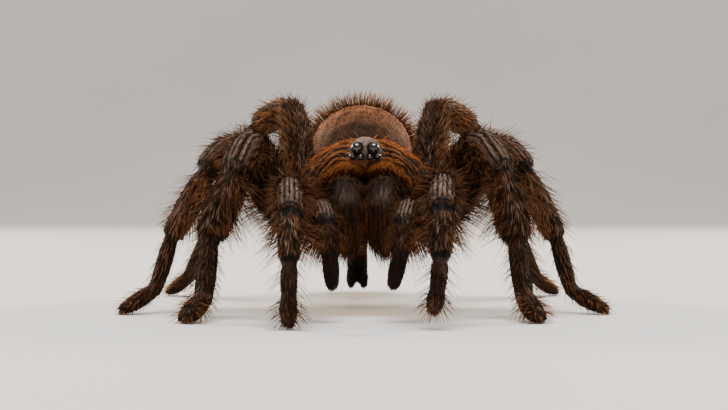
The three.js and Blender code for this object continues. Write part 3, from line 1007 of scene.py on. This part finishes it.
# A hair is three-sided and tapers by a share of its width. On the UV map it has a square patch, and its
# foot takes a part of that. It starts a little under the skin, and is never shorter than the least length.
CORNERS = 3
TAPER = 0.65
PATCH = 0.003
FOOT = 0.3
ROOT_DEPTH = 0.08 * MM
LEAST_LENGTH = 0.35 * MM
# The tone of a hair is 0 dark to 1 light: the middle, and how far it varies by hair, by lock and by patch.
TONE = 0.46
BY_HAIR, BY_LOCK, BY_PATCH = 0.28, 0.26, 0.10


def strand_shape(hairs, rings):
    """The vertices of many hairs, ring by ring and then the point, and the colour of each."""
    shape = (len(hairs.start), rings * CORNERS + 1)
    verts, tint = np.empty((*shape, 3)), np.ones((*shape, 4))
    size = hairs.size[:, None]
    for ring, t in enumerate(np.arange(rings) / rings):
        centre = hairs.start + size * (hairs.first * (t - t * t / 2) + hairs.last * (t * t / 2))
        ahead = unit(hairs.first * (1 - t) + hairs.last * t)
        up = unit(np.cross(ahead, hairs.side))
        across = np.cross(up, ahead)
        radius = (hairs.width / 2 * (1 - TAPER * t**1.3))[:, None]
        for k in range(CORNERS):
            turn = 2 * math.pi * k / CORNERS + math.pi / 2
            verts[:, ring * CORNERS + k] = centre + radius * (math.cos(turn) * across + math.sin(turn) * up)
        here = slice(ring * CORNERS, ring * CORNERS + CORNERS)
        tint[:, here, :3] = blend(hairs.root, hairs.tip, np.full(shape[0], t**0.8))[:, None]
    verts[:, -1] = hairs.start + size * (hairs.first + hairs.last) / 2
    tint[:, -1, :3] = hairs.tip
    verts[:, :, 2] = np.maximum(verts[:, :, 2], HAIR_OVER_FLOOR)
    return verts, tint


def strand_faces(rings):
    """The faces of one closed hair, and the place on its patch of every corner of theirs."""
    faces, patch = [(0, 2, 1)], [(0.0, 0.0), (1.0, 0.0), (0.5, FOOT)]
    for ring in range(rings):
        low, high = (FOOT + (1 - FOOT) * number / rings for number in (ring, ring + 1))
        for k in range(CORNERS):
            a, b = ring * CORNERS + k, ring * CORNERS + (k + 1) % CORNERS
            left, right = k / CORNERS, (k + 1) / CORNERS
            patch += [(left, low), (right, low)]
            if ring < rings - 1:
                faces.append((a, b, b + CORNERS, a + CORNERS))
                patch += [(right, high), (left, high)]
            else:
                faces.append((a, b, rings * CORNERS))
                patch.append(((left + right) / 2, high))
    return faces, patch


def strand_mesh(name, hairs, rings):
    """One mesh of many tapering hairs. Each is closed, and bends from its first direction to its last."""
    verts, tint = strand_shape(hairs, rings)
    faces, patch = strand_faces(rings)
    count, each = verts.shape[:2]
    flat = np.array([v for face in faces for v in face])
    sizes = np.array([len(face) for face in faces])
    number = np.arange(count)[:, None]
    loops, starts = flat + number * each, np.cumsum(sizes) - sizes + number * len(flat)
    mesh = bpy.data.meshes.new(name)
    mesh.vertices.add(count * each)
    put(mesh.vertices, "co", verts)
    mesh.loops.add(loops.size)
    put(mesh.loops, "vertex_index", loops, np.int32)
    mesh.polygons.add(starts.size)
    put(mesh.polygons, "loop_start", starts, np.int32)
    mesh.update(calc_edges=True)
    places = hairs.cell[:, None, :] + PATCH * np.array(patch)
    put(mesh.uv_layers.new(name="OFBake").data, "uv", places)
    write(mesh, "coat", tint.reshape(-1, 4))
    if mesh.validate(clean_customdata=False):
        raise RuntimeError(f"{name} has faces that had to be mended")
    return mesh


def atlas(spots, node, nodes):
    """Where each root lies on an unwrap of the skin: a cell for each node, round it and along it."""
    margin = 0.01
    columns = math.ceil(math.sqrt(len(nodes)))
    rows = math.ceil(len(nodes) / columns)
    order = np.zeros(len(FLESH), int)
    order[[FLESH.index(name) for name in nodes]] = np.arange(len(nodes))
    place = order[node]
    limb = np.arctan2(spots.lateral, spots.dorsal) / (2 * math.pi) + 0.5
    trunk = np.arctan2(spots.normal[:, 0], spots.normal[:, 2]) / (2 * math.pi) + 0.5
    inner = np.stack((np.where(spots.limb, limb, trunk), np.clip(spots.along, 0.0, 1.0)), axis=1)
    cell = np.array((1 / columns - 2 * margin, 1 / rows - 2 * margin))
    corner = np.stack((place % columns / columns + margin, place // columns / rows + margin), axis=1)
    return corner + inner * (cell - PATCH)


def turned(direction, axis, angle):
    """Directions turned about axes at a right angle to them."""
    return direction * np.cos(angle)[:, None] + np.cross(axis, direction) * np.sin(angle)[:, None]


def parting(spots):
    """How hair parts to both sides of the back and of the belly of a limb."""
    strength = np.where(spots.of("palp_patella", "leg_patella"), 0.4, 1.0)
    return np.where(spots.limb, strength * spots.lateral * np.clip(2 * spots.dorsal, -1, 1), 0.0)


def fur_share(spots):
    """The fur's share of its density in COAT: more on the eye mound and on the brow."""
    brow = spots.of("carapace") * ramp(3.0, 1.5, spots.rim)
    return np.where(from_mound(spots.point) < 4 * MM, 1.6, 1.0) * (1.0 + 0.35 * brow)


def seta_share(spots):
    """The setae's share of their density in COAT."""
    share = np.where(spots.of("abdomen"), step(0.36, 0.46, spots.along) * step(1.1, 0.5, spots.along), 1.0)
    share = np.where(spots.limb, 0.6 + 0.7 * step(0.95, 0.3, np.abs(spots.dorsal)), share)
    share = np.where(spots.of("carapace"), 1.0 + 20.0 * hem(spots.point, spots.rim), share)
    jaw_end = spots.of("chelicera") * step(0.55, 0.85, spots.along)
    return share * (1.0 + 2.0 * jaw_end + 1.8 * belly(spots) + 1.6 * toes(spots) + 5.0 * throat(spots))


def clear_of_eyes(spots):
    """0 at the eyes and 1 away from them."""
    return np.where(spots.of("carapace"), ramp(2.5, 7, from_mound(spots.point)), 1.0)


def outer_shin(spots):
    """1 on the tibiae out to the sides, which are shaggy."""
    return spots.of("leg_tibia") * ramp(21, 26, np.abs(spots.point[:, 0]))


def under(spots):
    """1 where the skin faces down."""
    return step(-0.1, -0.7, spots.normal[:, 2])


def trimmed(spots, size):
    """Lengths cut down on the soles, at the eyes and on the front of the abdomen."""
    sole = spots.of("leg_foot", "palp_tarsus") & (spots.dorsal < -0.2)
    size = np.where(sole, size * 0.6, size) * (0.42 + 0.58 * clear_of_eyes(spots))
    return np.where(spots.of("abdomen") & (spots.along < 0.4), size * 0.8, size)


def shape_fur(spots, size, lift, _):
    """Length, lift and droop of the fur: no hair reaches over a ring."""
    lift = lift + math.radians(14) * (1 - clear_of_eyes(spots))
    flank = np.maximum(spots.of("leg_femur"), outer_shin(spots)) * step(0.3, 0.9, spots.side)
    size, lift = size * (1 + 0.35 * flank), lift * (1 + 1.3 * flank)
    ahead = spots.of("carapace") * step(0.0, -0.35, spots.normal[:, 1])
    size = size * (1 - 0.3 * ahead * ramp(3.2, 2.0, spots.rim))
    lift = lift + math.radians(15) * ahead * ramp(7.0, 4.0, spots.rim)
    return np.minimum(size, spots.room + 0.25 * MM), lift, 0.15 * under(spots)


def shape_setae(spots, size, lift, rng):
    """Length, lift and droop of the setae: few reach over a ring, and those of the throat hang."""
    crossing_share = 0.08
    crossing = rng.random(len(size)) < crossing_share
    size = np.where(crossing, size, np.minimum(size, spots.room + 0.5 * MM))
    edge = np.where(spots.of("carapace"), hem(spots.point, spots.rim), 0.0)
    size = size * (1 - 0.25 * edge)
    lift = lift + (math.radians(18) - lift) * edge
    flat = np.where(spots.of("leg_femur", "leg_patella", "palp_femur"), 0.25, 0.5)
    lift = lift * np.where(spots.limb, 1 - flat * step(0.8, 0.3, spots.side), 1.0)
    low, beard = belly(spots), throat(spots)
    flank = spots.of("leg_tibia", "leg_foot") * step(0.5, 0.9, spots.side)
    toe = toes(spots) * step(-0.4, 0.2, spots.dorsal)
    lift = lift + math.radians(14) * toe
    shag = 0.3 + 0.25 * outer_shin(spots)
    size = size * (1 + 0.25 * low + 0.3 * beard + shag * flank) * (1 - 0.25 * toe)
    return size, lift, 0.55 * under(spots) + 0.4 * edge + 0.35 * low + 0.8 * beard


# The two layers of the coat: the column in COAT, the rings of a hair, the hairs to a lock, the pull to the
# lock's leader, the sway and the parting in degrees, the droop, the share of the lift at the root and at
# the tip, the roughness, and the functions for the share of the density, the shape and the colours.
LAYER_KEYS = ("column", "rings", "lock", "pull", "sway", "part", "droop", "root_lift", "tip_lift")
LAYER_KEYS += ("roughness", "share", "shape", "colours")
LAYERS = {
    "fur": (1, 2, 4, 0.12, 4.5, 20.0, 0.02, 1.3, 0.5, 0.48, fur_share, shape_fur, fur_colours),
    "setae": (2, 3, 2, 0.05, 8.0, 25.0, 0.08, 1.15, 0.78, 0.42, seta_share, shape_setae, seta_colours),
}
# the hind legs are sleeker than the others, and the abdomen's short velvet needs no second ring
SLEEK = {"leg4_fur": 0.74, "leg4_setae": 0.8}
RINGS = {"abdomen_fur": 1}
COATS = {
    "carapace": (["carapace"], "carapace_coat"),
    "abdomen": (["abdomen"], "abdomen_coat"),
    "chelicera": (["chelicera_left", "chelicera_right"], "chelicera_coat"),
    "underside": (["underbody", "pedicel", "spinneret_left", "spinneret_right"], "leg_coat"),
}
COATS.update({limb: (limb_nodes(limb), "leg_coat") for limb in LIMBS})


def grow(name, mesh, layer, nodes, material, hue, seed):
    """One piece of coat, the fur or the setae, on some nodes of the skin's mesh."""
    rng = np.random.default_rng(seed)
    skin, node = skin_spots(mesh)
    table = np.array([COAT[kind][layer.column] for kind in KINDS])
    density = table[skin.kind, 0] / MM**2 * np.isin(node, [FLESH.index(n) for n in nodes])
    density *= 1 - 0.98 * np.clip(skin.bare, 0, 1)
    density *= layer.share(skin)
    spots, node = rooted(skin, node, *sow(mesh, density, rng))
    count = len(spots.point)
    usual, thickness, rise = table[spots.kind, 1:].T
    leader = locks(spots.point, rng, layer.lock)
    tone = TONE + BY_HAIR * rng.normal(size=count) + BY_LOCK * rng.normal(size=count)[leader]
    tone = np.clip(tone + BY_PATCH * ripple(spots.point, 3 * MM, seed + 1), 0, 1)
    size = usual * MM * np.clip(1 + 0.2 * rng.normal(size=count), 0.5, 1.6) * SLEEK.get(name, 1.0)
    width = thickness * MM * rng.uniform(0.75, 1.3, count)
    lift = np.radians(rise) * rng.uniform(0.7, 1.35, count)
    yaw = math.radians(layer.sway) * (0.7 * rng.normal(size=count) + 0.7 * rng.normal(size=count)[leader])
    yaw = yaw * (1 - 0.7 * np.clip(sum(stripes(spots)), 0, 1)) - math.radians(layer.part) * parting(spots)
    size, lift, droop = layer.shape(spots, trimmed(spots, size), lift, rng)
    size = np.maximum(size, LEAST_LENGTH)
    flow = turned(spots.flow, spots.normal, yaw)
    side = unit(np.cross(flow, spots.normal))

    def raised(angle):
        return flow * np.cos(angle)[:, None] + spots.normal * np.sin(angle)[:, None]

    last = raised(lift * layer.tip_lift)
    last = last + 2 * layer.pull * (spots.point[leader] - spots.point) / size[:, None]
    last = last - UP * (layer.droop + droop)[:, None]
    beside = 0.9 * ramp(1.5, 1.0, spots.room)
    root, tip = (blend(end, hue.soot, beside) for end in layer.colours(spots, tone, hue))
    hairs = SimpleNamespace(last=last, side=side, size=size, width=width, root=root)
    hairs.first = raised(lift * layer.root_lift)
    hairs.tip = painted_glint(spots, tip, hue)
    hairs.start = spots.point - spots.normal * ROOT_DEPTH
    hairs.cell = atlas(spots, node, nodes)
    finished(name, strand_mesh(name, hairs, RINGS.get(name, layer.rings)), material)


def painted_glint(spots, tip, hue):
    """The tips with a painted blue highlight low on the right-facing side of the palps' tarsi."""
    shine = step(0.75, 0.92, spots.along) * step(0.2, 0.7, spots.normal[:, 0])
    return painted(tip, spots.of("palp_tarsus"), hue.glint, 0.7 * shine)


def grow_layer(settings, word):
    """Grows one layer of the coat, a piece for each part of the body."""
    skin = bpy.data.objects.get("skin")
    if skin is None:
        raise RuntimeError("the coat needs the skin: run the skin's operator first")
    layer = SimpleNamespace(**dict(zip(LAYER_KEYS, LAYERS[word])))
    hue = palette(settings)
    material = coat_finish(word, layer.roughness)
    for number, (group, (nodes, slot)) in enumerate(COATS.items()):
        seed = settings.seed + 100 * layer.column + number
        grow(f"{group}_{word}", skin.data, layer, nodes, material, hue, seed)


# ------- eyes, fangs, claws, stage


def build_eyes():
    """Eight domed lenses in the places of the frame's eyes."""
    material = eye_finish()
    for eye in EYES:
        node, name = f"eye_{eye}", f"lens_{eye}"
        low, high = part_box(node)
        bm = bmesh.new()
        bmesh.ops.create_uvsphere(bm, u_segments=32, v_segments=20, radius=0.5)
        bmesh.ops.scale(bm, vec=high - low, verts=bm.verts)
        bmesh.ops.translate(bm, vec=(low + high) / 2, verts=bm.verts)
        finished(name, ended(name, bm), material, [node])


def build_fangs():
    """The two fangs, folded under the chelicerae."""
    material = horn_finish("fang_horn", (0.012, 0.006, 0.005), (0.05, 0.012, 0.006))
    for side in SIDES:
        node, name = f"fang_{side}", f"horn_{side}"
        bm = merged(node)
        bmesh.ops.subdivide_edges(bm, edges=bm.edges, cuts=1, use_grid_fill=True, smooth=0.4)
        bmesh.ops.smooth_vert(bm, verts=bm.verts, factor=0.4, **EVERY_WAY)
        finished(name, ended(name, bm), material, [node])


def hook(bm, base, ahead, down, length):
    """One claw: a small disc drawn out to a point along a bend."""
    steps, sides, radius, taper, bend = 6, 8, 0.17 * MM, 0.9, math.radians(75.0)
    turn = ahead.to_track_quat("Z", "Y").to_matrix().to_4x4()
    ring = bmesh.ops.create_circle(bm, cap_ends=True, segments=sides, radius=radius)["verts"]
    bmesh.ops.transform(bm, matrix=Matrix.Translation(base) @ turn, verts=ring)
    bottom = next(face for face in bm.faces if all(v in face.verts for v in ring))
    edges = list(bottom.edges)
    heading, here = ahead.copy(), base.copy()
    bent = Matrix.Rotation(bend / steps, 3, ahead.cross(down).normalized())
    for number in range(1, steps + 1):
        drawn = bmesh.ops.extrude_edge_only(bm, edges=edges)["geom"]
        verts = [item for item in drawn if isinstance(item, bmesh.types.BMVert)]
        edges = [item for item in drawn if isinstance(item, bmesh.types.BMEdge)]
        heading = bent @ heading
        move = heading * (length / steps)
        bmesh.ops.translate(bm, vec=move, verts=verts)
        here = here + move
        bmesh.ops.rotate(bm, cent=here, matrix=bent, verts=verts)
        small = (1.0 - taper * number / steps) / (1.0 - taper * (number - 1) / steps)
        bmesh.ops.scale(bm, vec=(small,) * 3, space=Matrix.Translation(-here), verts=verts)
    bmesh.ops.holes_fill(bm, edges=edges, sides=0)


def build_claws(settings):
    """A pair of small claws in the tuft of each foot."""
    hue = palette(settings)
    bm = bmesh.new()
    parts = anatomy()
    for leg in LEGS:
        for side in SIDES:
            part = parts[f"{leg}_{side}_foot"]
            ahead = Vector(unit(part.end - part.start))
            across = Vector(part.across)
            down = across.cross(ahead)
            for way in (-1, 1):
                base = Vector(part.end) - ahead * 1.1 * MM + across * way * 0.35 * MM
                base.z = max(base.z, 1.3 * MM)
                hook(bm, base, (ahead + across * way * 0.15).normalized(), down, settings.body.claw)
    for vert in bm.verts:
        vert.co.z = max(vert.co.z, 0.1 * MM)
    bmesh.ops.recalc_face_normals(bm, faces=bm.faces)
    finished("claws", ended("claws", bm), horn_finish("claw_horn", hue.cuticle, hue.soot))


def build_floor(stage):
    """A wide round floor that sweeps up far from the model."""
    bends, turns = 12, 96
    rise = [(0.0, 0.0), (stage.floor, 0.0)]
    for number in range(1, bends + 1):
        turn = math.pi / 2 * number / bends
        rise.append((stage.floor + stage.sweep * math.sin(turn), stage.sweep * (1 - math.cos(turn))))
    rise.append((stage.floor + stage.sweep, 2.5 * stage.sweep))
    bm = bmesh.new()
    profile = [bm.verts.new((reach, 0.0, height)) for reach, height in rise]
    edges = [bm.edges.new(pair) for pair in zip(profile, profile[1:])]
    full = {"angle": 2 * math.pi, "steps": turns, "use_merge": True}
    bmesh.ops.spin(bm, geom=profile + edges, cent=(0, 0, 0), axis=(0, 0, 1), dvec=(0, 0, 0), **full)
    bmesh.ops.remove_doubles(bm, verts=bm.verts, dist=0.01 * MM)
    bmesh.ops.recalc_face_normals(bm, faces=bm.faces)
    if bm.faces[0].normal.z < 0:
        bmesh.ops.reverse_faces(bm, faces=bm.faces)
    placed("floor", ended("floor", bm), floor_finish())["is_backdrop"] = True


def area_light(name, place, target, size, power, tint):
    lamp = bpy.data.lights.new(name, "AREA")
    lamp.shape = "DISK"
    lamp.size = size
    lamp.energy = power
    lamp.color = tint
    light = linked(name, lamp)
    light.location = place
    light.rotation_euler = (Vector(target) - Vector(place)).to_track_quat("-Z", "Y").to_euler()


def build_stage(settings):
    """The floor, the soft lights and the camera, level and straight in front of the model."""
    stage, scene = settings.stage, bpy.context.scene
    low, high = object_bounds()
    middle = (low + high) / 2
    build_floor(stage)
    scene.world = bpy.data.worlds.new("studio")
    scene.world.use_nodes = True
    background = scene.world.node_tree.nodes["Background"]
    background.inputs["Color"].default_value = (0.86, 0.87, 0.89, 1.0)
    background.inputs["Strength"].default_value = stage.fill
    area_light("key", (0.05, -0.20, 1.35), middle, 1.0, stage.key, (1.0, 0.98, 0.96))
    for name, x in (("rim_left", -1.0), ("rim_right", 1.0)):
        area_light(name, (x, 0.75, 0.55), middle, 0.5, stage.rim, (1.0, 0.80, 0.60))
    lens = bpy.data.cameras.new("camera")
    lens.lens = stage.lens
    lens.sensor_width = 36.0
    lens.clip_start = 0.01
    lens.clip_end = 20.0
    camera = linked("camera", lens)
    camera.location = (0.0, low.y - stage.distance, stage.height)
    camera.rotation_euler = (math.pi / 2, 0.0, 0.0)
    scene.camera = camera


# ------- operators


class TARANTULA_OT_stage(bpy.types.Operator):
    """Lays the pale floor, hangs the soft lights and sets up the camera"""

    bl_idname = "tarantula.stage"
    bl_label = "Stage"

    def execute(self, context):
        build_stage(context.scene.tarantula)
        return {"FINISHED"}


class TARANTULA_OT_skin(bpy.types.Operator):
    """Welds the parts of flesh into one skin with its markings"""

    bl_idname = "tarantula.skin"
    bl_label = "Skin"

    def execute(self, context):
        build_skin(context.scene.tarantula)
        return {"FINISHED"}


class TARANTULA_OT_eyes(bpy.types.Operator):
    """Sets the eight lenses in the eye mound"""

    bl_idname = "tarantula.eyes"
    bl_label = "Eyes"

    def execute(self, context):
        build_eyes()
        return {"FINISHED"}


class TARANTULA_OT_fangs(bpy.types.Operator):
    """Shapes the two fangs"""

    bl_idname = "tarantula.fangs"
    bl_label = "Fangs"

    def execute(self, context):
        build_fangs()
        return {"FINISHED"}


class TARANTULA_OT_claws(bpy.types.Operator):
    """Draws out the pairs of claws"""

    bl_idname = "tarantula.claws"
    bl_label = "Claws"

    def execute(self, context):
        build_claws(context.scene.tarantula)
        return {"FINISHED"}


class TARANTULA_OT_fur(bpy.types.Operator):
    """Grows the short fur over the skin"""

    bl_idname = "tarantula.fur"
    bl_label = "Fur"

    def execute(self, context):
        grow_layer(context.scene.tarantula, "fur")
        return {"FINISHED"}


class TARANTULA_OT_setae(bpy.types.Operator):
    """Grows the long setae that stand through the fur"""

    bl_idname = "tarantula.setae"
    bl_label = "Setae"

    def execute(self, context):
        grow_layer(context.scene.tarantula, "setae")
        return {"FINISHED"}


OPERATORS = (
    TARANTULA_OT_skin,
    TARANTULA_OT_eyes,
    TARANTULA_OT_fangs,
    TARANTULA_OT_claws,
    TARANTULA_OT_fur,
    TARANTULA_OT_setae,
    TARANTULA_OT_stage,
)


class TARANTULA_PT_model(bpy.types.Panel):
    """Lists the steps and the settings of the model"""

    bl_idname = "TARANTULA_PT_model"
    bl_label = "Tarantula"
    bl_space_type = "VIEW_3D"
    bl_region_type = "UI"
    bl_category = "Tarantula"

    def draw(self, context):
        settings = context.scene.tarantula
        column = self.layout.column()
        for operator in OPERATORS:
            column.operator(operator.bl_idname)
        for group in (settings.body, settings.stage, settings.colours):
            box = self.layout.box()
            for key in group.__annotations__:
                box.prop(group, key)


GROUPS = (TarantulaColours, TarantulaBody, TarantulaStage, TarantulaSettings)
CLASSES = (*GROUPS, *OPERATORS, TARANTULA_PT_model)


def register():
    for cls in CLASSES:
        bpy.utils.register_class(cls)
    bpy.types.Scene.tarantula = PointerProperty(type=TarantulaSettings)


def unregister():
    del bpy.types.Scene.tarantula
    for cls in reversed(CLASSES):
        bpy.utils.unregister_class(cls)


def main():
    """Builds the model."""
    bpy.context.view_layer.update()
    register()
    bpy.ops.tarantula.stage()
    bpy.ops.tarantula.skin()
    bpy.ops.tarantula.eyes()
    bpy.ops.tarantula.fangs()
    bpy.ops.tarantula.claws()
    bpy.ops.tarantula.fur()
    bpy.ops.tarantula.setae()


if __name__ == "__main__":
    main()
